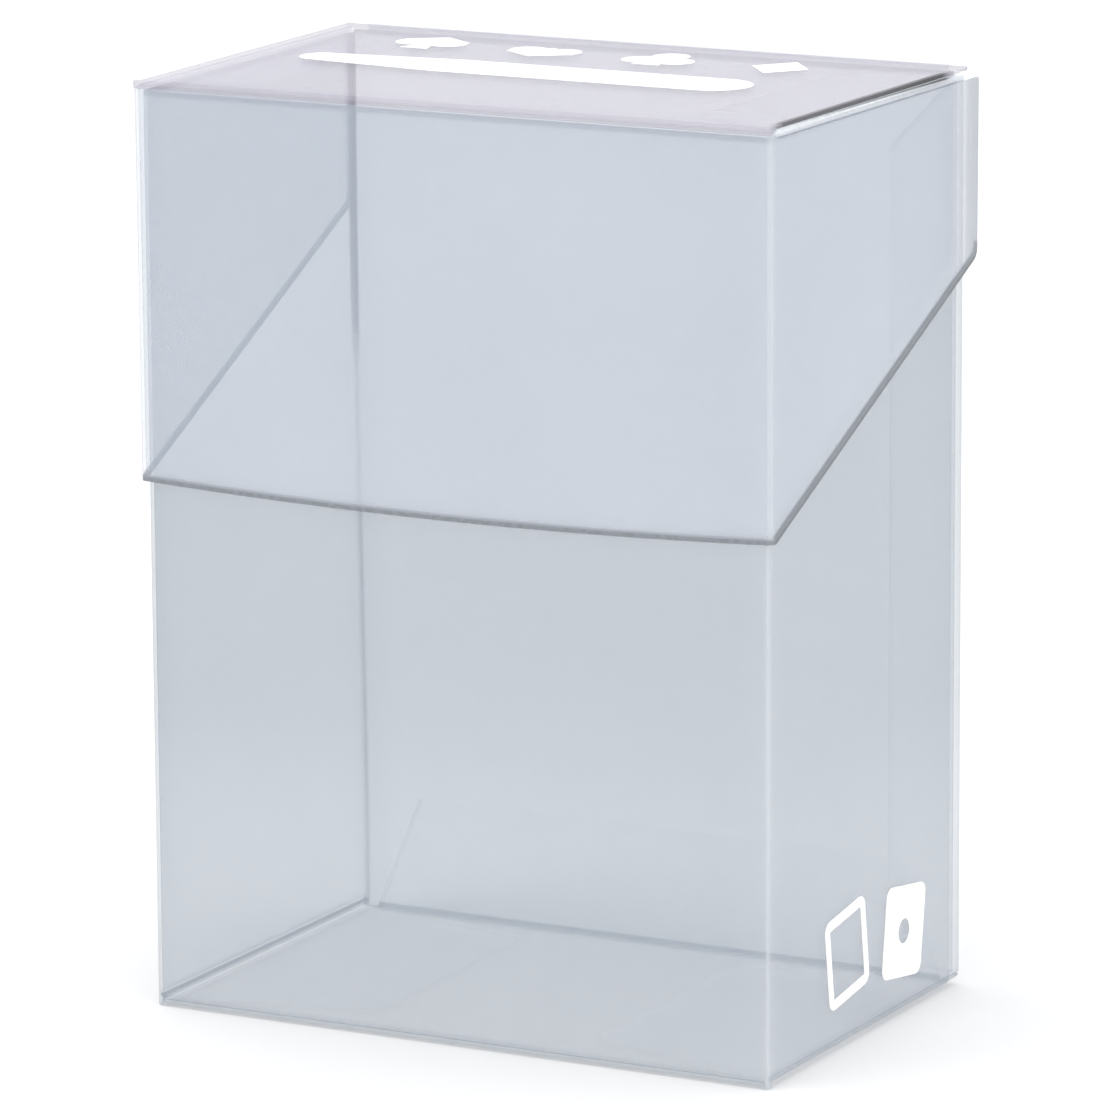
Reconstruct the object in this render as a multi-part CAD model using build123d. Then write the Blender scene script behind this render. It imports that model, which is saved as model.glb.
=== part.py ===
from build123d import *
import math
import os

# Clear flip-top deck box for trading cards, folded from one thin plastic sheet. The sheet wraps into
# a tall body with a closed floor, and carries on over the back wall's top edge, through a living hinge,
# into a lid whose front and side flaps pass outside the body. Every panel, flap and fold of the sheet
# is a node of its own. Millimetres, +X to the right seen from the front, +Y to the back, +Z up.
# The origin is on the table, under the middle of the whole box.

# Driving dimensions
sheet = 0.4
body_width = 71.0
body_depth = 45.0
box_height = 97.0
fold_radius = 0.8
rim_gap = 0.3
lid_gap = 0.15
lid_flare = 0.15
lid_splay = 0.8
lid_corner_height = 55.6
lid_front_sag = 0.9
lid_back_height = 77.3
lid_corner_radius = 1.6
flap_overhang = 0.4
hinge_reach = 0.5
hinge_web_thickness = 0.16
running_gap = 0.02

# Flaps inside the box
seam_flap_width = 15.0
bottom_flap_length = 22.0
tuck_flap_height = 12.0
dust_flap_length = 11.0
flap_clearance = 1.2
flap_taper = 5.0

# White print on the outside
ink = 0.05
print_x = -3.2
stripe_y = -0.6
stripe_length = 51.5
stripe_width = 8.0
stripe_tip_width = 4.6
suit_x = 2.5
suit_y = 12.6
suit_size = 8.0
suit_pitch = 13.5
side_print_depth = 24.5
side_print_height = 9.8
card_width = 9.4
card_height = 9.6
card_corner = 1.2
card_line = 1.1
card_hole = 1.3
card_spacing = 13.5
card_step = 0.9
card_tilt = 8.0

# Where the faces lie. The lid flares out towards its top, and its side flaps spread a little
# further apart towards their free back edges.
half_width = body_width / 2
lid_lowest = lid_corner_height - lid_front_sag
lid_top_overhang = lid_gap + sheet + lid_flare
lid_low_overhang = lid_gap + sheet
overall_depth = body_depth + lid_top_overhang + flap_overhang
body_front = lid_top_overhang - overall_depth / 2
body_back = body_front + body_depth
flap_back = body_back + flap_overhang
rim = box_height - 2 * sheet - rim_gap
splay_slope = lid_splay / (flap_back - body_front)
hinge_y = body_back - sheet / 2
hinge_z = box_height - sheet / 2

MIN = Align.MIN
MAX = Align.MAX


def block(x, y, z):
    """Box between two corners, given as the low and high value along each axis."""
    size = Box(x[1] - x[0], y[1] - y[0], z[1] - z[0], align=(MIN, MIN, MIN))
    return Pos(x[0], y[0], z[0]) * size


def fold(centre_plane, side_x, side_y, length):
    """Quarter-round bend of the sheet about the plane's origin, drawn out along its normal."""
    corner = Rectangle(fold_radius, fold_radius, align=(side_x, side_y))
    section = (Circle(fold_radius) - Circle(fold_radius - sheet)) & corner
    return extrude(centre_plane * section, amount=length)


def upright_fold(x, y, side_x, side_y, low, high):
    return fold(Plane((x, y, low)), side_x, side_y, high - low)


def fold_along_x(y, z, side_y, side_z, half_length):
    """Bend that runs across the box, centred on x = 0."""
    plane = Plane((-half_length, y, z), x_dir=(0, 1, 0), z_dir=(1, 0, 0))
    return fold(plane, side_y, side_z, 2 * half_length)


def fold_along_y(x, z, side_x, side_z, front, back):
    """Bend that runs from front to back."""
    plane = Plane((x, back, z), x_dir=(1, 0, 0), z_dir=(0, -1, 0))
    return fold(plane, side_x, side_z, back - front)


def tapered_flap(root, tip, side_a, side_b, taper):
    """Flat outline of a flap from its fold line to its free edge, narrower at the free edge."""
    points = [(root, side_a), (tip, side_a + taper), (tip, side_b - taper), (root, side_b)]
    return make_face(Polyline(*points, close=True))


def mirrored(shape):
    return mirror(shape, Plane.YZ)


def body_walls():
    """Four walls, their upright folds, and the bonded flap that closes the wrap."""
    x_in = half_width - fold_radius
    side_low = sheet + fold_radius
    front = block((-x_in, x_in), (body_front, body_front + sheet), (fold_radius, rim))
    seam_x = half_width - sheet
    back_z = (0, hinge_z - hinge_reach)
    back = block((-x_in, seam_x - fold_radius), (body_back - sheet, body_back), back_z)
    side_y = (body_front + fold_radius, body_back - fold_radius)
    left = block((-half_width, sheet - half_width), side_y, (side_low, rim))
    right = block((seam_x, half_width), (side_y[0], body_back), (side_low, rim))

    front_y, back_y = side_y
    seam_end = back_y - seam_flap_width
    outline = tapered_flap(back_y, seam_end, side_low, rim, flap_taper)
    plane = Plane((seam_x - sheet, 0, 0), x_dir=(0, 1, 0), z_dir=(1, 0, 0))
    return {
        "body_front_panel": front,
        "body_back_panel": back,
        "body_left_panel": left,
        "body_right_panel": right,
        "side_seam_flap": extrude(plane * outline, amount=sheet),
        "fold_front_left": upright_fold(-x_in, front_y, MAX, MAX, 0, rim),
        "fold_front_right": upright_fold(x_in, front_y, MIN, MAX, 0, rim),
        "fold_back_left": upright_fold(-x_in, back_y, MAX, MIN, 0, rim),
        "fold_back_right": upright_fold(seam_x - fold_radius, back_y, MIN, MIN, side_low, rim),
    }


def floor():
    """Bottom panel with its tuck flap behind, over which the two side flaps are folded in."""
    front_y = body_front + fold_radius
    back_y = body_back - sheet - fold_radius
    x_in = half_width - fold_radius
    bottom = block((-x_in, x_in), (front_y, back_y), (0, sheet))
    tuck_x = half_width - 2 * sheet - flap_clearance
    tuck_outline = tapered_flap(fold_radius, fold_radius + tuck_flap_height, -tuck_x, tuck_x, flap_taper)
    tuck_plane = Plane((0, body_back - sheet, 0), x_dir=(0, 0, 1), z_dir=(0, -1, 0))

    side_z = sheet + fold_radius
    side_y = (front_y + flap_clearance, back_y - flap_clearance)
    outline = tapered_flap(x_in, x_in - bottom_flap_length, side_y[0], side_y[1], flap_taper)
    right = extrude(Pos(0, 0, sheet) * outline, amount=sheet)
    right_fold = fold_along_y(x_in, side_z, MIN, MAX, front_y, body_back)
    left_fold = mirrored(fold_along_y(x_in, side_z, MIN, MAX, front_y, body_back - fold_radius))
    return {
        "bottom_panel": bottom,
        "bottom_tuck_flap": extrude(tuck_plane * tuck_outline, amount=sheet),
        "bottom_right_flap": right,
        "bottom_left_flap": mirrored(right),
        "fold_bottom_front": fold_along_x(front_y, fold_radius, MAX, MAX, x_in),
        "fold_bottom_back": fold_along_x(back_y, fold_radius, MIN, MAX, tuck_x),
        "fold_bottom_right": right_fold,
        "fold_bottom_left": left_fold,
    }


def skirt_section(z, inset):
    """Outline of the lid's skirt at a height, with the back left long, to be trimmed."""
    reach = lid_low_overhang + lid_flare * (z - lid_lowest) / (box_height - lid_lowest) - inset
    front = body_front - reach
    back = body_back + body_depth
    half = half_width + reach
    back_half = half + splay_slope * (back - front)
    outline = Polygon((-half, front), (half, front), (back_half, back), (-back_half, back), align=None)
    front_corners = outline.vertices().sort_by(Axis.Y)[:2]
    return Pos(0, 0, z) * fillet(front_corners, fold_radius - inset)


def skirt():
    """Slightly flared wall of the lid, before it is cut into panels and folds."""
    outer = loft([skirt_section(lid_lowest, 0), skirt_section(box_height, 0)], ruled=True)
    inner = loft([skirt_section(lid_lowest, sheet), skirt_section(box_height, sheet)], ruled=True)
    return outer - inner


def lid_walls():
    """Front panel, two side flaps with slanting lower edges, and the folds between them."""
    wall = skirt()
    corner_x = half_width + lid_low_overhang - fold_radius
    corner_y = body_front - lid_low_overhang + fold_radius
    wide = body_width
    front_top = box_height - fold_radius
    flap_top = front_top - sheet

    lower_edge = ThreePointArc((-corner_x, lid_corner_height), (0, lid_lowest), (corner_x, lid_corner_height))
    sides = Polyline((corner_x, lid_corner_height), (corner_x, front_top), (-corner_x, front_top),
                     (-corner_x, lid_corner_height))
    front_plane = Plane((0, corner_y, 0), x_dir=(1, 0, 0), z_dir=(0, -1, 0))
    front_cutter = extrude(front_plane * make_face(lower_edge + sides), amount=fold_radius * 3)

    outline = Polygon((corner_y, lid_corner_height), (flap_back, lid_back_height), (flap_back, flap_top),
                      (corner_y, flap_top), align=None)
    heel = outline.vertices().sort_by(Axis.X)[-2:].sort_by(Axis.Y)[0]
    outline = fillet(heel, lid_corner_radius)
    side_plane = Plane((corner_x, 0, 0), x_dir=(0, 1, 0), z_dir=(1, 0, 0))
    side_cutter = extrude(side_plane * outline, amount=wide)

    corner = block((corner_x, wide), (body_front - wide, corner_y), (lid_corner_height, front_top))
    right_flap = wall & side_cutter
    right_corner = wall & corner
    return {
        "lid_front_panel": wall & front_cutter,
        "lid_right_flap": right_flap,
        "lid_left_flap": mirrored(right_flap),
        "fold_lid_front_right": right_corner,
        "fold_lid_front_left": mirrored(right_corner),
    }


def lid_top():
    """Top panel, and the dust flaps folded in under it along the splayed side flaps."""
    flap_top = box_height - sheet
    top_spread = lid_flare * (flap_top - fold_radius - lid_lowest) / (box_height - lid_lowest)
    fold_x = half_width + lid_low_overhang + top_spread - fold_radius
    front_y = body_front - lid_top_overhang + fold_radius
    back_y = hinge_y - hinge_reach
    back_x = fold_x + splay_slope * (back_y - front_y)
    corners = [(-fold_x, front_y), (fold_x, front_y), (back_x, back_y), (-back_x, back_y)]
    top = extrude(Pos(0, 0, flap_top) * make_face(Polyline(*corners, close=True)), amount=sheet)

    splay_angle = math.degrees(math.atan(splay_slope))
    lean = Pos(fold_x, front_y, 0) * Rot(0, 0, -splay_angle) * Pos(-fold_x, -front_y, 0)
    flap_y = (front_y + flap_clearance, back_y - flap_clearance)
    outline = tapered_flap(fold_x, fold_x - dust_flap_length, flap_y[0], flap_y[1], flap_taper)
    right = lean * extrude(Pos(0, 0, flap_top - sheet) * outline, amount=sheet)
    corner_y = body_front - lid_low_overhang + fold_radius
    right_fold = lean * fold_along_y(fold_x, flap_top - fold_radius, MIN, MIN, corner_y, flap_back)
    front_fold = fold_along_x(front_y, box_height - fold_radius, MAX, MIN, fold_x + fold_radius)
    rounded_outline = extrude(skirt_section(box_height, 0), amount=-2 * fold_radius)
    return {
        "lid_top_panel": top,
        "fold_lid_front_top": front_fold & rounded_outline,
        "lid_right_dust_flap": right,
        "lid_left_dust_flap": mirrored(right),
        "fold_lid_right_top": right_fold,
        "fold_lid_left_top": mirrored(right_fold),
    }


def hinge():
    """Living hinge: the sheet thins to a web on each side of a round bead on the hinge line."""
    half_length = half_width - 2 * fold_radius
    half_web = hinge_web_thickness / 2
    bead_radius = sheet / 2
    bead = Pos(0, hinge_y, hinge_z) * Rot(0, 90, 0) * Cylinder(bead_radius, 2 * half_length)
    body_web = block((-half_length, half_length), (hinge_y - half_web, hinge_y + half_web),
                     (hinge_z - hinge_reach, hinge_z))
    lid_web = block((-half_length, half_length),
                    (hinge_y - hinge_reach, hinge_y - bead_radius - running_gap),
                    (hinge_z - half_web, hinge_z + half_web))
    return {"hinge_bead": bead + body_web, "hinge_web": lid_web}


def heart(size):
    """Heart of the given width, point down."""
    lobe = size / 4
    shoulder = lobe * 0.7
    point = make_face(Polyline((-1.93 * lobe, -shoulder), (0, -size / 2), (1.93 * lobe, -shoulder),
                               (0, lobe), close=True))
    return point + Pos(-lobe, 0) * Circle(lobe) + Pos(lobe, 0) * Circle(lobe)


def stem(size):
    foot = size / 5
    return make_face(Polyline((-foot, -size / 2), (foot, -size / 2), (0, size / 6), close=True))


def spade(size):
    return Rot(0, 0, 180) * heart(size) + stem(size)


def club(size):
    leaf = size / 4
    leaves = Pos(0, leaf) * Circle(leaf) + Pos(-leaf, -leaf / 2) * Circle(leaf)
    return leaves + Pos(leaf, -leaf / 2) * Circle(leaf) + stem(size)


def diamond(size):
    half = size / 2
    return make_face(Polyline((0, -half), (0.8 * half, 0), (0, half), (-0.8 * half, 0), close=True))


def stroke():
    """Bar with round ends that thins towards its left end, like the stroke of a brush."""
    wide = stripe_width / 2
    thin = stripe_tip_width / 2
    reach = stripe_length / 2
    tip = Pos(thin - reach, 0) * Circle(thin)
    ends = [tip, Pos(-reach / 3, 0) * Circle(wide), Pos(reach - wide, 0) * Circle(wide)]
    return make_hull([edge for end in ends for edge in end.edges()])


def lid_prints():
    """Printed stripe across the lid, with a row of card suits behind it."""
    surface = Plane((print_x, 0, box_height))
    stripe = extrude(surface * Pos(0, stripe_y) * stroke(), amount=ink)
    suits = [spade, heart, club, diamond]
    symbols = []
    for place, suit in enumerate(suits):
        across = suit_x + (place - (len(suits) - 1) / 2) * suit_pitch
        symbols.append(extrude(surface * Pos(across, suit_y) * suit(suit_size), amount=ink))
    return {"lid_stripe_print": stripe, "lid_symbols_print": Compound(children=symbols)}


def side_print():
    """Two tilted cards printed low on the right wall, one as an outline and one solid."""
    card = RectangleRounded(card_width, card_height, card_corner)
    outline = card - offset(card, -card_line)
    solid = card - Circle(card_hole)
    middle = body_front + side_print_depth
    surface = Plane((half_width, middle, side_print_height), x_dir=(0, 1, 0), z_dir=(1, 0, 0))
    left = extrude(surface * Pos(-card_spacing / 2, 0) * Rot(0, 0, card_tilt) * outline, amount=ink)
    right = extrude(surface * Pos(card_spacing / 2, -card_step) * Rot(0, 0, -card_tilt) * solid, amount=ink)
    return {"side_mark_print": Compound(children=[left, right])}


def deck_box():
    nodes = {}
    for group in (body_walls, floor, lid_walls, lid_top, hinge, lid_prints, side_print):
        nodes.update(group())
    return nodes


os.makedirs("parts", exist_ok=True)
for name, shape in deck_box().items():
    export_step(shape, f"parts/{name}.step")
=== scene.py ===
import bmesh
import bpy
import math
import numpy as np
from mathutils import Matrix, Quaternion, Vector


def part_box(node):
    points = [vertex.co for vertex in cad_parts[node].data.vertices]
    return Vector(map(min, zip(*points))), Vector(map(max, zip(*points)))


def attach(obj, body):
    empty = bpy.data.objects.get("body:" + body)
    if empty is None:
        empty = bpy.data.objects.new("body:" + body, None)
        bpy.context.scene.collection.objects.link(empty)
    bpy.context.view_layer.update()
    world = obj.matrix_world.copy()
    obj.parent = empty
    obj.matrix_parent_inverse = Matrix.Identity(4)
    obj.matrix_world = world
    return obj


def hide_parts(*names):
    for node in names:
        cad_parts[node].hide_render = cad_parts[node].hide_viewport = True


# Looks of the clear folded deck box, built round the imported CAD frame. The helpers work in
# millimetres, because the sheet is thin, and MM turns them into Blender's metres.
MM = 0.001

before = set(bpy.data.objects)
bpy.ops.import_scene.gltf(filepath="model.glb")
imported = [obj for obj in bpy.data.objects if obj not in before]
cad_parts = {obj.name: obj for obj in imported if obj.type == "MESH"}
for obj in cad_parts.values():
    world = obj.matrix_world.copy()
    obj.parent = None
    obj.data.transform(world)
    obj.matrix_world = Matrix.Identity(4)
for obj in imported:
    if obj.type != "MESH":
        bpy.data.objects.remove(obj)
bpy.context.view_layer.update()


def corners(node):
    """Lowest and highest corner of a CAD node, in millimetres."""
    low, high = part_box(node)
    return low / MM, high / MM


# ---------------------------------------------------------------- sizes read from the frame
front_low, front_high = corners("body_front_panel")
left_low, _ = corners("body_left_panel")
back_low, back_high = corners("body_back_panel")
seam_low, seam_high = corners("side_seam_flap")
upright_low, upright_high = corners("fold_front_left")
bottom_flap_low, bottom_flap_high = corners("bottom_right_flap")
tuck_low, tuck_high = corners("bottom_tuck_flap")
top_low, top_high = corners("lid_top_panel")
_, top_fold_high = corners("fold_lid_front_top")
lid_front_low, lid_front_high = corners("lid_front_panel")
_, lid_flap_high = corners("lid_right_flap")
lid_upright_low, _ = corners("fold_lid_front_right")
dust_low, dust_high = corners("lid_right_dust_flap")
dust_fold_low, dust_fold_high = corners("fold_lid_right_top")

SHEET = front_high.y - front_low.y
FOLD = upright_high.x - upright_low.x
BEND = FOLD - SHEET / 2
HALF_WIDTH = -left_low.x
FRONT = front_low.y
BACK = back_high.y
RIM = front_high.z
SIDE_LOW = left_low.z
TOP = top_high.z
FLAP_BACK = lid_flap_high.y

# The lid's shape: how far it stands off the body, flares upwards and splays backwards
LID_OVERHANG = 0.55
LID_FLARE = 0.15
LID_SPLAY = 0.8
LID_SAG = 0.9
LID_BACK = 77.3
HEEL = 1.6
LID_LOWEST = lid_front_low.z
LID_CORNER = lid_upright_low.z
LID_CORNER_Y = FRONT - LID_OVERHANG + FOLD
LID_HALF_FRONT = HALF_WIDTH + LID_OVERHANG - FOLD
LID_TOP_HALF = top_fold_high.x - FOLD
SPLAY_SLOPE = LID_SPLAY / (FLAP_BACK - FRONT)
DUST_LENGTH = 11.0
TAPER = 5.0

# How the sheets are meshed, and how far each stands back so that no two faces lie together
GAP = 0.02
CHAMFER = 0.03
BOW = 0.08
LEAN, LEAN_FROM, LEAN_TO = 0.85, 0.0, 80.0
EDGE_STEPS = (0.0, 0.1, 0.25, 0.4, 0.55, 0.75, 1.1, 1.7)
COARSE_STEP = 3.0
MIDDLE_ROWS = 16
BEND_STEPS = 6
SHARP_ANGLE = 40
FLAT = 0.99

# Width of the painted shade line along a cut edge: full strength as far as the first, none past the second
EDGE_LINE = (0.4, 0.75)
# Width of a fold's painted line, both for shade and for whitening with a painted highlight
FOLD_LINE = 0.35

# How far up the tuck flap the painted shade line of its crease sits, past the bend
CREASE_RISE = 0.8


# ---------------------------------------------------------------- strips of folded sheet
class Route:
    """Mid-line of a strip of sheet seen end on: straight runs joined by quarter bends.
    Each station has a place, a direction out of the box, a distance along, and its part's name."""

    def __init__(self, start, heading, out):
        self.at = np.array(start, float)
        self.heading = math.radians(heading)
        self.out = out
        self.along = 0.0
        self.stations = []
        self.bends = []

    def mark(self, part, share):
        """Adds a station here."""
        c, s = math.cos(self.heading), math.sin(self.heading)
        self.stations.append({"at": self.at.copy(), "normal": np.array([s, -c]) * self.out,
                              "tangent": np.array([c, s]), "along": self.along, "part": part, "share": share})

    def run(self, part, length, fine_start=False, fine_end=False):
        """Straight panel, with close stations near an end that is a cut edge."""
        near = [d for d in EDGE_STEPS if d < length / 2]
        places = set(near if fine_start else [0.0]) | {length - d for d in (near if fine_end else [0.0])}
        inner = np.linspace(0, length, max(2, round(length / COARSE_STEP)) + 1)
        places |= {d for d in inner if EDGE_STEPS[-1] < d < length - EDGE_STEPS[-1]}
        begin, from_along = self.at.copy(), self.along
        direction = np.array([math.cos(self.heading), math.sin(self.heading)])
        for d in sorted(places):
            self.at, self.along = begin + direction * d, from_along + d
            self.mark(part, d / length)
        return self

    def bend(self, part, turn):
        """Quarter bend, to the left where turn is 90 and to the right where it is -90."""
        side = 1 if turn > 0 else -1
        centre = self.at + BEND * side * np.array([-math.sin(self.heading), math.cos(self.heading)])
        first, from_along = self.heading, self.along
        for k in range(1, BEND_STEPS + 1):
            share = k / BEND_STEPS
            self.heading = first + math.radians(turn) * share
            radial = side * np.array([math.sin(self.heading), -math.cos(self.heading)])
            self.at = centre + BEND * radial
            self.along = from_along + math.radians(90) * BEND * share
            if k < BEND_STEPS:
                self.mark(part, share)
        self.bends.append((part, (from_along + self.along) / 2))
        return self


def spread_rows(low, high):
    """Heights between two edges: close together near both, and some across the middle."""
    first, last = low + EDGE_STEPS[-1], high - EDGE_STEPS[-1]
    inner = [first + (last - first) * k / MIDDLE_ROWS for k in range(1, MIDDLE_ROWS)]
    return np.array([low + d for d in EDGE_STEPS] + inner + [high - d for d in reversed(EDGE_STEPS)])


def edge_shade(edges, station, height, distances):
    """How dark the painted shade is here, from the strength given for each cut edge."""
    shade = 0.0
    for edge, given in edges.items():
        strength, full, none = given if isinstance(given, tuple) else (given, *EDGE_LINE)
        if callable(strength):
            strength = strength(station, height)
        near = 1 - np.clip((distances[edge] - full) / (none - full), 0, 1)
        shade = max(shade, strength * float(near))
    return shade


def fold_shade(folds, bends, along):
    """How much painted shade, and how much crease whitening with a painted highlight, the bends nearby put on
    the sheet here: shaded ones are given below 0.
    """
    dark = light = 0.0
    for part, middle in bends:
        weight = folds.get(part, 0.0) * math.exp(-((along - middle) / FOLD_LINE) ** 2)
        dark, light = max(dark, -weight), max(light, weight)
    return dark, light


def sheet_piece(name, route, limits, place, material, edges=None, folds=None, painted_light_veil=None, extra=None):
    """Closed thin solid that follows a route, from limits(station)[0] to limits(station)[1].
    place turns (mid-line point, normal, height, side) into a 3-D point. edges and folds give the painted
    shade lines and the crease whitening with painted highlights, the painted light veil how far a part is
    painted paler and hides less, and extra any more painted shade, as the mesh's attributes."""
    stations = route.stations
    count = len(stations)
    heights = np.array([spread_rows(*limits(s)) for s in stations])
    rows = heights.shape[1]
    length = stations[-1]["along"]
    half = SHEET / 2
    verts = []
    tones = {"painted_edge_shade": [], "fold_white_and_painted_highlight": [], "painted_light_veil": []}

    def add(i, height, side, depth, push):
        station = stations[i]
        low, high = limits(station)
        middle = station["at"] + station["tangent"] * push
        verts.append(place(middle, station["normal"], height, side * depth))
        distances = {"low": height - low, "high": high - height,
                     "start": station["along"], "end": length - station["along"]}
        shade = edge_shade(edges or {}, station, height, distances)
        dark, light = fold_shade(folds or {}, route.bends, station["along"])
        more = extra(station, height) if extra else 0.0
        tones["painted_edge_shade"].append(max(shade, dark, more))
        tones["fold_white_and_painted_highlight"].append(light * (1 - min(1.0, more)))
        tones["painted_light_veil"].append(painted_light_veil(station, height) if painted_light_veil else 0.0)
        return len(verts) - 1

    grid = {}
    for side in (1, -1):
        for i in range(count):
            along = CHAMFER if i == 0 else -CHAMFER if i == count - 1 else 0.0
            for j in range(rows):
                up = CHAMFER if j == 0 else -CHAMFER if j == rows - 1 else 0.0
                grid[side, i, j] = add(i, heights[i, j] + up, side, half, along)
    border = [(i, 0) for i in range(count)] + [(count - 1, j) for j in range(1, rows)]
    border += [(i, rows - 1) for i in range(count - 2, -1, -1)] + [(0, j) for j in range(rows - 2, 0, -1)]
    rings = [[grid[1, i, j] for i, j in border]]
    rings += [[add(i, heights[i, j], side, half - CHAMFER, 0.0) for i, j in border] for side in (1, -1)]
    rings += [[grid[-1, i, j] for i, j in border]]

    faces = []
    for i in range(count - 1):
        for j in range(rows - 1):
            for side in (1, -1):
                faces.append([grid[side, i, j], grid[side, i + 1, j], grid[side, i + 1, j + 1],
                              grid[side, i, j + 1]])
    for k in range(len(border)):
        m = (k + 1) % len(border)
        for first, second in zip(rings, rings[1:]):
            faces.append([first[k], second[k], second[m], first[m]])

    mesh = bpy.data.meshes.new(name)
    mesh.from_pydata([Vector(v) * MM for v in verts], [], faces)
    for label, values in tones.items():
        mesh.attributes.new(label, "FLOAT", "POINT").data.foreach_set("value", np.array(values, np.float32))
    work = bmesh.new()
    work.from_mesh(mesh)
    bmesh.ops.recalc_face_normals(work, faces=work.faces)
    work.to_mesh(mesh)
    work.free()
    mesh.shade_smooth()
    mesh.set_sharp_from_angle(angle=math.radians(SHARP_ANGLE))
    mesh.materials.append(material)
    piece = bpy.data.objects.new(name, mesh)
    bpy.context.scene.collection.objects.link(piece)
    return piece


def finish_piece(piece, body, *nodes):
    """Hands the piece to the body it moves with, in place of its CAD nodes."""
    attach(piece, body)
    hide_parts(*nodes)


# ---------------------------------------------------------------- materials
# Tones of the clear sheet, painted light and shade among them: how much each one hides, and how strongly its
# colour shows
SLANT_POWER, SLANT_HIDES = 5.0, 0.4
VEIL_CLEARS = 0.75
FOLD_HIDES, FOLD_SHOWS = 0.25, 0.9
EDGE_HIDES = 0.9
RUB_SHOWS = 0.12
WORN_ROUGHNESS = 0.15
PLASTIC_IOR = 1.49


class Shading:
    """A new Principled material, with short names for the node types that the materials share."""

    def __init__(self, name):
        self.material = bpy.data.materials.new(name)
        self.material.use_nodes = True
        self.tree = self.material.node_tree
        self.shader = self.tree.nodes["Principled BSDF"]

    def link(self, value, socket):
        if isinstance(value, (int, float, tuple)):
            socket.default_value = value
        else:
            self.tree.links.new(value, socket)

    def set(self, **sockets):
        for name, value in sockets.items():
            self.link(value, self.shader.inputs[name.replace("_", " ")])

    def attribute(self, name):
        node = self.tree.nodes.new("ShaderNodeAttribute")
        node.attribute_name = name
        return node.outputs["Fac"]

    def math(self, operation, first, second=0.0, clamp=False):
        node = self.tree.nodes.new("ShaderNodeMath")
        node.operation = operation
        node.use_clamp = clamp
        self.link(first, node.inputs[0])
        self.link(second, node.inputs[1])
        return node.outputs[0]

    def mix(self, share, first, second):
        node = self.tree.nodes.new("ShaderNodeMix")
        node.data_type = "RGBA"
        colour = [socket for socket in node.inputs if socket.type == "RGBA"]
        self.link(share, node.inputs[0])
        self.link(first, colour[0])
        self.link(second, colour[1])
        return next(socket for socket in node.outputs if socket.type == "RGBA")

    def noise(self, scale, detail=0.0, stretch=(1.0, 1.0, 1.0)):
        """Cloud in the object's own space, stretched along the axes with the smaller numbers."""
        where = self.tree.nodes.new("ShaderNodeTexCoord").outputs["Object"]
        mapping = self.tree.nodes.new("ShaderNodeMapping")
        self.link(where, mapping.inputs["Vector"])
        mapping.inputs["Scale"].default_value = stretch
        node = self.tree.nodes.new("ShaderNodeTexNoise")
        self.link(mapping.outputs["Vector"], node.inputs["Vector"])
        node.inputs["Scale"].default_value = scale
        node.inputs["Detail"].default_value = detail
        return node.outputs["Fac"]

    def ramp(self, value, low, high, to_low=0.0, to_high=1.0):
        node = self.tree.nodes.new("ShaderNodeMapRange")
        self.link(value, node.inputs["Value"])
        for name, number in (("From Min", low), ("From Max", high), ("To Min", to_low), ("To Max", to_high)):
            node.inputs[name].default_value = number
        return node.outputs["Result"]

    def facing(self):
        """0 seen square on and 1 seen edge on, for the gloss of a smooth sheet."""
        node = self.tree.nodes.new("ShaderNodeLayerWeight")
        node.inputs["Blend"].default_value = 0.5
        return node.outputs["Facing"]

    def bump(self, height, strength, distance):
        node = self.tree.nodes.new("ShaderNodeBump")
        self.link(height, node.inputs["Height"])
        node.inputs["Strength"].default_value = strength
        node.inputs["Distance"].default_value = distance
        return node.outputs["Normal"]


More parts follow.
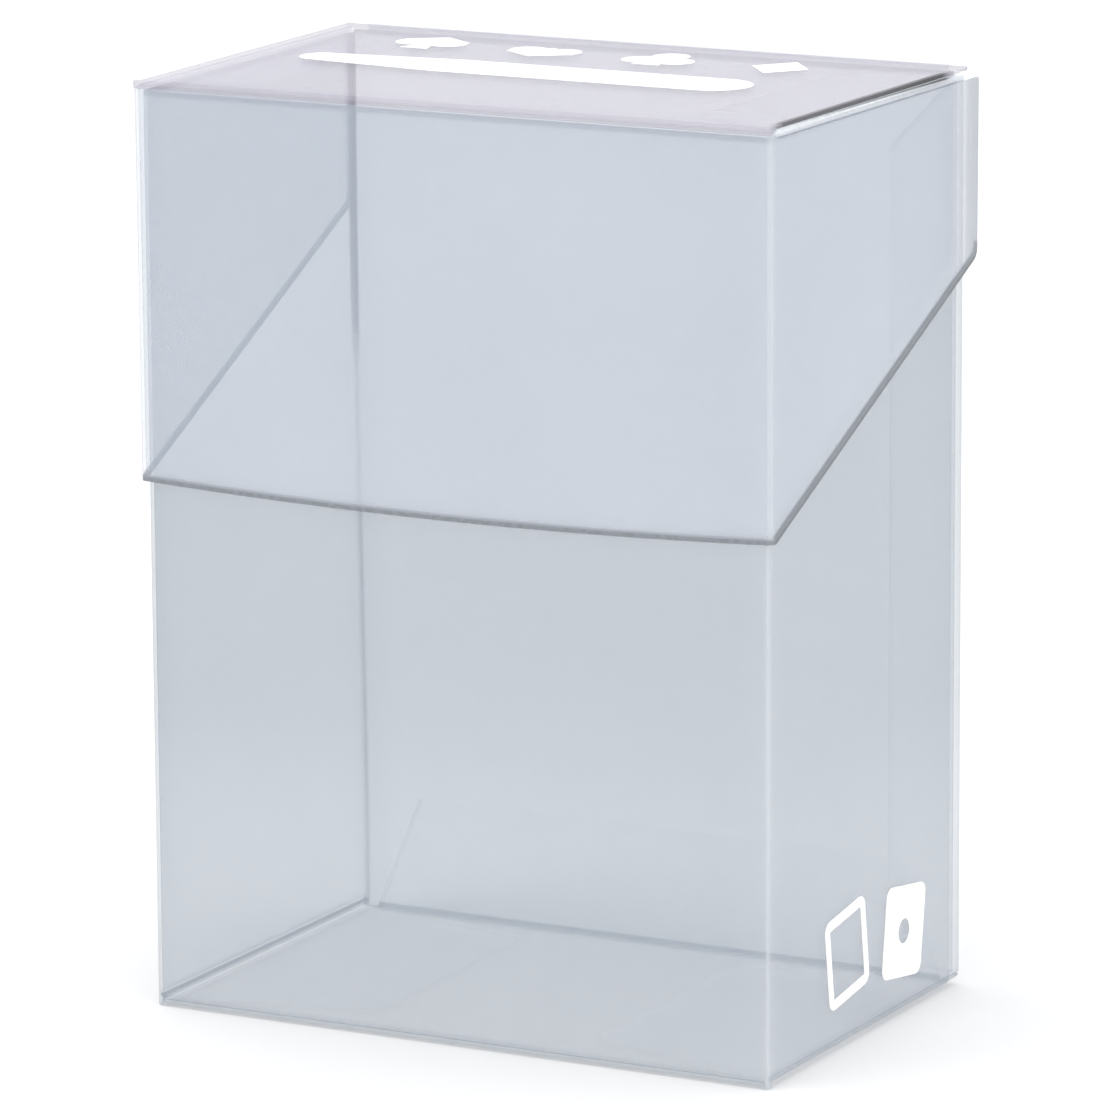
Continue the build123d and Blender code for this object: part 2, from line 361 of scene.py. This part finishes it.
def clear_plastic(name, base, opacity, grain_along):
    """Clear polypropylene that scatters a little light: faint haze, fine rub marks, painted shade along cut
    edges and folds, folds turned white by bending with a painted highlight on them, and painted light where a
    part is veiled. A smooth sheet mirrors more, and hides more, seen at a slant."""
    look = Shading(name)
    edge = look.attribute("painted_edge_shade")
    fold = look.attribute("fold_white_and_painted_highlight")
    painted_light_veil = look.attribute("painted_light_veil")
    cloud = look.noise(38.0, 1.0)
    grain = look.noise(1500.0)
    rubs = look.ramp(look.noise(1.0, stretch=grain_along), 0.78, 0.86)

    light = tuple(min(1.0, c * 1.02) for c in base) + (1.0,)
    shade = tuple(c * 0.98 for c in base) + (1.0,)
    colour = look.mix(look.ramp(cloud, 0.35, 0.65), shade, light)
    # Painted light: paler, and hiding less, where a part is given the veil
    colour = look.mix(painted_light_veil, colour, PAINTED_LIGHT_COLOUR)
    colour = look.mix(look.math("MULTIPLY", rubs, RUB_SHOWS), colour, RUB_COLOUR)
    # Crease whitening from bending, with a painted highlight on it
    colour = look.mix(look.math("MULTIPLY", fold, FOLD_SHOWS), colour, CREASE_WHITE_AND_PAINTED_HIGHLIGHT_COLOUR)
    # Painted shade: near black along cut edges and folds, where light bends away and where shadow falls
    colour = look.mix(edge, colour, PAINTED_EDGE_SHADE_COLOUR)

    slant = look.math("MULTIPLY", look.math("POWER", look.facing(), SLANT_POWER), SLANT_HIDES)
    thin = look.math("SUBTRACT", 1.0, look.math("MULTIPLY", painted_light_veil, VEIL_CLEARS))
    alpha = look.math("MULTIPLY", look.math("ADD", slant, opacity), thin)
    alpha = look.math("ADD", alpha, look.math("MULTIPLY", fold, FOLD_HIDES))
    alpha = look.math("ADD", alpha, look.math("MULTIPLY", edge, EDGE_HIDES), clamp=True)

    rough = look.math("ADD", look.ramp(grain, 0.3, 0.7, 0.16, 0.2),
                      look.math("MULTIPLY", rubs, WORN_ROUGHNESS))
    rough = look.math("ADD", rough, look.math("MULTIPLY", look.math("ADD", fold, edge), WORN_ROUGHNESS))
    look.set(Base_Color=colour, Alpha=alpha, Roughness=rough, IOR=PLASTIC_IOR,
             Normal=look.bump(grain, 0.08, 0.00003))
    return look.material


def white_ink(name):
    """Screen-printed white ink: matt and a little uneven."""
    look = Shading(name)
    patch = look.ramp(look.noise(600.0, 2.0), 0.35, 0.65)
    grain = look.noise(5200.0, 1.0)
    look.set(Base_Color=look.mix(patch, (0.93, 0.93, 0.94, 1.0), (0.99, 0.99, 0.99, 1.0)),
             Roughness=look.ramp(grain, 0.3, 0.7, 0.38, 0.55), Normal=look.bump(grain, 0.2, 0.00003))
    return look.material


def studio_paper(name):
    """Pale seamless paper, faintly mottled."""
    look = Shading(name)
    cloud = look.ramp(look.noise(3.0, 2.0), 0.3, 0.7)
    look.set(Base_Color=look.mix(cloud, (0.765, 0.765, 0.767, 1.0), (0.785, 0.785, 0.785, 1.0)),
             Roughness=0.8, Specular_IOR_Level=0.2)
    return look.material


# Colours the tones mix towards: a pale one for painted light, one for real rub marks, one for crease
# whitening with a painted highlight on it, and a near black for painted shade along edges and folds
PAINTED_LIGHT_COLOUR = (0.90, 0.92, 0.96, 1.0)
RUB_COLOUR = (0.85, 0.88, 0.92, 1.0)
CREASE_WHITE_AND_PAINTED_HIGHLIGHT_COLOUR = (0.93, 0.95, 0.98, 1.0)
PAINTED_EDGE_SHADE_COLOUR = (0.017, 0.019, 0.024, 1.0)
UPRIGHT = (2200.0, 2200.0, 60.0)
ACROSS = (60.0, 2200.0, 2200.0)
body_plastic = clear_plastic("clear_sheet_body", (0.285, 0.35, 0.425), 0.25, UPRIGHT)
lid_plastic = clear_plastic("clear_sheet_lid", (0.64, 0.69, 0.77), 0.25, UPRIGHT)
# The top panel's own copy of the sheet is lighter and more lilac than the walls: painted light, for the light
# the top catches from above
painted_lit_top_plastic = clear_plastic("clear_sheet_lid_top_painted_light", (0.44, 0.42, 0.505), 0.25, ACROSS)
ink = white_ink("white_print_ink")


# ---------------------------------------------------------------- the body
# Painted shade: the back left fold is painted darker by this much over this stretch of height, where the lid
# stands before it
BEHIND_LID_PAINTED_SHADE, BEHIND_LID_FROM, BEHIND_LID_TO = 0.7, LID_LOWEST + 5, LID_LOWEST + 12

# Painted light: how much paler the walls are painted, and how much less they hide, near the floor where they
# stand against the box's own shadow, and the heights between which that wears off
LOW_VEIL, LOW_VEIL_FULL, LOW_VEIL_NONE = 0.2, 5, 32


def make_walls():
    """Four walls and the seam flap, one strip wrapped round the box."""
    route = Route((HALF_WIDTH - SHEET * 1.5 - 2 * GAP, seam_low.y), 90, 1)
    route.run("seam", seam_high.y - seam_low.y, fine_start=True).bend("seam_fold", 90)
    route.at = np.array([HALF_WIDTH - SHEET - FOLD, BACK - SHEET / 2])
    route.run("back", 2 * HALF_WIDTH - SHEET - 2 * FOLD).bend("back_left_fold", 90)
    route.run("left", BACK - FRONT - 2 * FOLD).bend("front_left_fold", 90)
    route.run("front", 2 * (HALF_WIDTH - FOLD)).bend("front_right_fold", 90)
    route.run("right", BACK - FRONT - FOLD, fine_end=True)

    def limits(station):
        part = station["part"]
        inset = TAPER * (1 - station["share"])
        if part == "seam":
            return SIDE_LOW + inset, RIM - inset
        if part == "seam_fold":
            return SIDE_LOW, RIM
        if part == "back":
            return back_low.z, back_high.z
        if part == "front":
            return front_low.z + GAP, RIM
        return (upright_low.z if "fold" in part else SIDE_LOW) + GAP, RIM

    def place(middle, normal, height, side):
        """The front, left and back walls belly out a very little, and the back left corner leans out."""
        x, y = middle + normal * (side - 2 * GAP)
        swell = BOW * math.sin(math.pi * float(np.clip(height / RIM, 0, 1)))
        if normal[0] < -FLAT:
            x -= swell * math.cos(math.pi * y / (BACK - FRONT))
        if abs(normal[1]) > FLAT:
            y += swell * normal[1] * math.cos(math.pi * x / (2 * HALF_WIDTH))
        rise = float(np.clip((height - LEAN_FROM) / (LEAN_TO - LEAN_FROM), 0, 1))
        towards_corner = max(0.0, -x / HALF_WIDTH) * max(0.0, (y - FRONT) / (BACK - FRONT))
        return (x - LEAN * rise * rise * (3 - 2 * rise) * towards_corner, y, height)

    def painted_shade_behind_lid(station, height):
        """Painted shade: the back left fold is painted darker where the lid's front panel stands before it as
        well.
        """
        if station["part"] != "back_left_fold":
            return 0.0
        return BEHIND_LID_PAINTED_SHADE * float(np.interp(height, (BEHIND_LID_FROM, BEHIND_LID_TO), (0.0, 1.0)))

    def painted_light_veil(station, height):
        """Painted light: the seam flap is painted pale and hides little, and low down the walls are painted
        paler where they stand against the box's own shadow.
        """
        near_floor = float(np.interp(height, (LOW_VEIL_FULL, LOW_VEIL_NONE), (1.0, 0.0)))
        return 1.0 if station["part"] == "seam" else LOW_VEIL * near_floor

    # Painted shade lines along the cut edges and the darker folds; the front right fold gets crease whitening
    # with a painted highlight
    piece = sheet_piece("body_walls", route, limits, place, body_plastic,
                        edges={"low": (0.1, 0.1, 0.5), "high": 0.25, "start": 0.06, "end": 0.05},
                        folds={"seam_fold": -0.12, "back_left_fold": -0.2, "front_left_fold": -0.12,
                               "front_right_fold": 0.55},
                        painted_light_veil=painted_light_veil, extra=painted_shade_behind_lid)
    finish_piece(piece, "body", "body_front_panel", "body_left_panel", "body_right_panel", "body_back_panel",
                 "side_seam_flap", "fold_front_left", "fold_front_right", "fold_back_left", "fold_back_right")


def make_floor():
    """Bottom panel, hung from the front wall's lower fold, with its tuck flap up behind."""
    route = Route((FRONT + SHEET / 2 + GAP, front_low.z), -90, 1)
    route.bend("front_fold", 90)
    route.run("bottom", tuck_high.y - FOLD - (FRONT + FOLD)).bend("tuck_fold", 90)
    route.bends[-1] = ("tuck_fold", route.along + CREASE_RISE)
    route.run("tuck", tuck_high.z - tuck_low.z, fine_end=True)

    def limits(station):
        if station["part"] == "tuck":
            half = tuck_high.x - TAPER * station["share"]
        else:
            half = tuck_high.x if station["part"] == "tuck_fold" else HALF_WIDTH - FOLD - GAP
        return -half, half

    def place(middle, normal, height, side):
        y, z = middle + normal * (side - GAP)
        return (height, y, z)

    # Painted light: the bottom panel and tuck flap are painted paler and hide less, to lift the darker look
    # low in the box
    piece = sheet_piece("bottom_and_tuck_flap", route, limits, place, body_plastic,
                        edges={"low": 0.1, "high": 0.05}, folds={"front_fold": -0.1, "tuck_fold": -0.2},
                        painted_light_veil=lambda station, height: {"bottom": 0.9, "tuck": 1.25}.get(station["part"], 0.0))
    finish_piece(piece, "body", "bottom_panel", "bottom_tuck_flap", "fold_bottom_front", "fold_bottom_back")


def make_bottom_flap(side_name, mirror):
    """Flap folded in from a side wall over the bottom panel."""
    fold_low, fold_high = corners(f"fold_bottom_{side_name}")
    route = Route((HALF_WIDTH - SHEET / 2 - GAP, SIDE_LOW), -90, -1)
    route.bend("flap_fold", -90)
    route.run("flap", bottom_flap_high.x - bottom_flap_low.x, fine_end=True)

    def limits(station):
        if station["part"] == "flap_fold":
            return fold_low.y + GAP, fold_high.y - GAP
        taper = TAPER * station["share"]
        return bottom_flap_low.y + taper, bottom_flap_high.y - taper

    def place(middle, normal, height, side):
        x, z = middle + normal * (side - GAP)
        return (mirror * x, height, z + GAP)

    # Painted light: the flap is painted pale and hides little, to lift the darker look low in the box
    piece = sheet_piece(f"bottom_{side_name}_flap_sheet", route, limits, place, body_plastic,
                        folds={"flap_fold": -0.3 if mirror < 0 else -0.2},
                        painted_light_veil=lambda station, height: 1.0 if station["part"] == "flap" else 0.0)
    finish_piece(piece, "body", f"bottom_{side_name}_flap", f"fold_bottom_{side_name}")


# ---------------------------------------------------------------- the lid
def lid_low_edge(station):
    """Lower edge: an arc along the front, and a slant with a rounded heel on each side flap."""
    x, y = station["at"]
    if station["part"] == "front":
        return LID_CORNER - LID_SAG * (1 - (x / LID_HALF_FRONT) ** 2)
    if "fold" in station["part"]:
        return LID_CORNER
    slope = (LID_BACK - LID_CORNER) / (FLAP_BACK - LID_CORNER_Y)
    lean = math.atan(slope)
    heel_y = FLAP_BACK - HEEL
    if y <= heel_y + HEEL * math.sin(lean):
        return LID_CORNER + slope * (y - LID_CORNER_Y)
    heel_z = LID_CORNER + slope * (heel_y - LID_CORNER_Y) + HEEL / math.cos(lean)
    return heel_z - math.sqrt(max(0.0, HEEL ** 2 - (y - heel_y) ** 2))


def make_skirt():
    """Lid's front panel and side flaps, one strip that wraps round three sides of the body."""
    side_length = FLAP_BACK - LID_CORNER_Y
    route = Route((-(HALF_WIDTH + LID_OVERHANG - SHEET / 2), FLAP_BACK), -90, 1)
    route.run("left", side_length, fine_start=True).bend("left_fold", 90)
    route.run("front", 2 * LID_HALF_FRONT).bend("right_fold", 90)
    route.run("right", side_length, fine_end=True)

    def limits(station):
        part = station["part"]
        high = lid_flap_high.z if part in ("left", "right") else lid_front_high.z
        return lid_low_edge(station), high - GAP

    def place(middle, normal, height, side):
        spread = LID_FLARE * (height - LID_LOWEST) / (TOP - LID_LOWEST)
        x, y = middle + normal * (side + spread - GAP)
        return (x * (1 + SPLAY_SLOPE * max(0.0, y - FRONT) / HALF_WIDTH), y, height)

    # Painted shade along the lid's lower cut edge, wide enough to stand in also for the shadow the edge casts
    # on the body below
    def painted_low_edge_shade(station, height):
        return {"left": 0.75, "right": 0.8}.get(station["part"], 0.65)

    piece = sheet_piece("lid_front_and_side_flaps", route, limits, place, lid_plastic,
                        edges={"low": (painted_low_edge_shade, 0.4, 0.8), "start": 0.4, "end": (0.35, 2.0, 4.0)},
                        # The right fold's pale line is crease whitening with a painted highlight on it
                        folds={"left_fold": -0.2, "right_fold": 0.38},
                        # Painted light: the left flap is painted paler and hides less
                        painted_light_veil=lambda station, height: 0.5 if station["part"] == "left" else 0.0)
    finish_piece(piece, "lid", "lid_front_panel", "lid_left_flap", "lid_right_flap", "fold_lid_front_left",
                 "fold_lid_front_right")


# Painted shadow of the slit beside the top panel, by share of the way from its front corner to its back one
GAP_DEPTHS = (0.0, 0.06, 0.5, 0.85, 0.9, 0.93)
GAP_TONES = (0.0, 0.85, 0.9, 1.0, 0.9, 0.0)

# Share of the right fold that the painted slit shadow starts from, at the front and at the back, and its soft
# edge
SLIT_FRONT, SLIT_BACK, SLIT_EDGE = 0.85, 0.45, 0.15


def painted_slit_shadow(y):
    """How dark the painted shadow of the slit beside the top panel's right edge is: near black at the back,
    none at the corners.
    """
    depth = (y - top_low.y) / (top_high.y - top_low.y)
    return float(np.interp(depth, GAP_DEPTHS, GAP_TONES))


def make_lid_top():
    """Top panel and its fold down to the front panel."""
    route = Route((top_high.y, TOP - SHEET / 2), 180, 1)
    route.run("top", top_high.y - top_low.y, fine_start=True).bend("top_fold", 90)
    route.mark("top_fold", 1.0)

    def limits(station):
        forward = station["at"][0] - top_low.y
        if station["part"] == "top_fold":
            rounding = (FOLD - GAP) * math.sqrt(max(0.0, 1 - (forward / FOLD) ** 2))
            return -LID_TOP_HALF - rounding, LID_TOP_HALF + rounding
        half = LID_TOP_HALF + SPLAY_SLOPE * max(0.0, forward)
        return -half, half

    def place(middle, normal, height, side):
        y, z = middle + normal * (side - GAP)
        return (height, y, z)

    # Painted shadow of the slit along the top panel's right cut edge
    def painted_slit_shadow_on_top(station, height):
        return painted_slit_shadow(station["at"][0]) if station["part"] == "top" else 0.0

    piece = sheet_piece("lid_top_sheet", route, limits, place, painted_lit_top_plastic,
                        edges={"low": 0.1, "high": painted_slit_shadow_on_top, "start": 0.2}, folds={"top_fold": -0.2})
    finish_piece(piece, "lid", "lid_top_panel", "fold_lid_front_top")


def make_dust_flap(side_name, mirror):
    """Flap folded in from the top of a side flap, under the top panel."""
    spread = LID_FLARE * (lid_flap_high.z - LID_LOWEST) / (TOP - LID_LOWEST)
    outer = HALF_WIDTH + LID_OVERHANG + spread
    route = Route((outer - SHEET / 2 - GAP, lid_flap_high.z), 90, 1)
    route.bend("dust_fold", 90)
    route.run("dust", DUST_LENGTH, fine_end=True)

    def limits(station):
        if station["part"] == "dust_fold":
            return dust_fold_low.y + GAP, dust_fold_high.y - GAP
        taper = TAPER * station["share"]
        return dust_low.y + taper, dust_high.y - taper

    def place(middle, normal, height, side):
        x, z = middle + normal * (side - GAP)
        return (mirror * (x + SPLAY_SLOPE * (height - FRONT)), height, z - GAP)

    def painted_slit_shadow_on_fold(station, height):
        """Painted shadow: the upper part of the right fold is painted dark as in the slit's shadow, more of
        it towards the back.
        """
        if mirror < 0 or station["part"] != "dust_fold":
            return 0.0
        depth = float(np.clip((height - top_low.y) / (top_high.y - top_low.y), 0, 1))
        first = SLIT_FRONT + (SLIT_BACK - SLIT_FRONT) * depth
        return painted_slit_shadow(height) * float(np.clip((station["share"] - first) / SLIT_EDGE, 0, 1))

    # The right dust fold's pale line is crease whitening with a painted highlight on it
    piece = sheet_piece(f"lid_{side_name}_dust_flap_sheet", route, limits, place, lid_plastic,
                        edges={"end": 0.03}, folds={"dust_fold": 0.7 if mirror > 0 else 0.2},
                        # Painted light: the dust flaps are painted paler and hide less under the top panel
                        painted_light_veil=lambda station, height: 0.6 if station["part"] == "dust" else 0.0, extra=painted_slit_shadow_on_fold)
    finish_piece(piece, "lid", f"lid_{side_name}_dust_flap", f"fold_lid_{side_name}_top")


make_walls()
make_floor()
make_lid_top()
make_skirt()
for side_name, mirror in (("right", 1), ("left", -1)):
    make_bottom_flap(side_name, mirror)
    make_dust_flap(side_name, mirror)


# ---------------------------------------------------------------- hinge and prints
def show_node(node, material):
    """Keeps a CAD node in view, in a material of its own."""
    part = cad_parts[node]
    part.data.materials.clear()
    part.data.materials.append(material)


for node in ("hinge_bead", "hinge_web"):
    show_node(node, lid_plastic)
for node in ("lid_stripe_print", "lid_symbols_print", "side_mark_print"):
    show_node(node, ink)


# ---------------------------------------------------------------- camera, light and floor
AZIMUTH = 27.76
ELEVATION = 12.12
ROLL = -0.33
LENS = 247.0
DISTANCE = 777.0
AIM_HEIGHT = 48.5
SHIFT = (-0.0053, -0.0100)


def make_camera():
    """Long lens, a little above the box and to its right."""
    azimuth, elevation, roll = math.radians(AZIMUTH), math.radians(ELEVATION), math.radians(ROLL)
    back = Vector((math.sin(azimuth) * math.cos(elevation), -math.cos(azimuth) * math.cos(elevation),
                   math.sin(elevation)))
    data = bpy.data.cameras.new("camera")
    data.sensor_width = 36.0
    data.lens = LENS
    data.shift_x, data.shift_y = SHIFT
    data.clip_end = 20
    camera = bpy.data.objects.new("camera", data)
    camera.rotation_mode = "QUATERNION"
    camera.rotation_quaternion = Quaternion(back, roll) @ (-back).to_track_quat("-Z", "Y")
    camera.location = Vector((0, 0, AIM_HEIGHT * MM)) + back * DISTANCE * MM
    bpy.context.scene.collection.objects.link(camera)
    bpy.context.scene.camera = camera


def make_light(name, place, size, power):
    """Rectangular soft light aimed at the box."""
    data = bpy.data.lights.new(name, "AREA")
    data.energy = power
    data.shape = "RECTANGLE"
    data.size, data.size_y = size
    light = bpy.data.objects.new(name, data)
    light.location = place
    light.rotation_mode = "QUATERNION"
    light.rotation_quaternion = (Vector((0, 0, 0.05)) - Vector(place)).to_track_quat("-Z", "Y")
    bpy.context.scene.collection.objects.link(light)


def make_sky_light(name, irradiance, spread):
    """Wide soft light straight down, as even far off on the floor as beside the box."""
    data = bpy.data.lights.new(name, "SUN")
    data.energy = irradiance
    data.angle = math.radians(spread)
    light = bpy.data.objects.new(name, data)
    light.location = (0.0, 0.0, 1.5)
    bpy.context.scene.collection.objects.link(light)


def make_floor_sheet():
    mesh = bpy.data.meshes.new("studio_floor")
    reach, level = 6.0, -0.0001
    mesh.from_pydata([(-reach, -reach, level), (reach, -reach, level), (reach, reach, level),
                      (-reach, reach, level)], [], [(0, 1, 2, 3)])
    mesh.materials.append(studio_paper("studio_paper"))
    floor = bpy.data.objects.new("studio_floor", mesh)
    bpy.context.scene.collection.objects.link(floor)


make_camera()
make_sky_light("top_light", 1.38, 60)
make_light("key_light", (-0.5, -0.6, 0.9), (0.6, 0.6), 2.0)
make_light("side_light", (1.0, -0.2, 0.5), (0.3, 0.8), 1.0)
make_floor_sheet()

scene = bpy.context.scene
scene.world = bpy.data.worlds.new("studio")
scene.world.use_nodes = True
background = scene.world.node_tree.nodes["Background"]
background.inputs["Color"].default_value = (1.0, 1.0, 1.0, 1.0)
background.inputs["Strength"].default_value = 1.0
scene.view_settings.view_transform = "Standard"
scene.cycles.transparent_max_bounces = 32
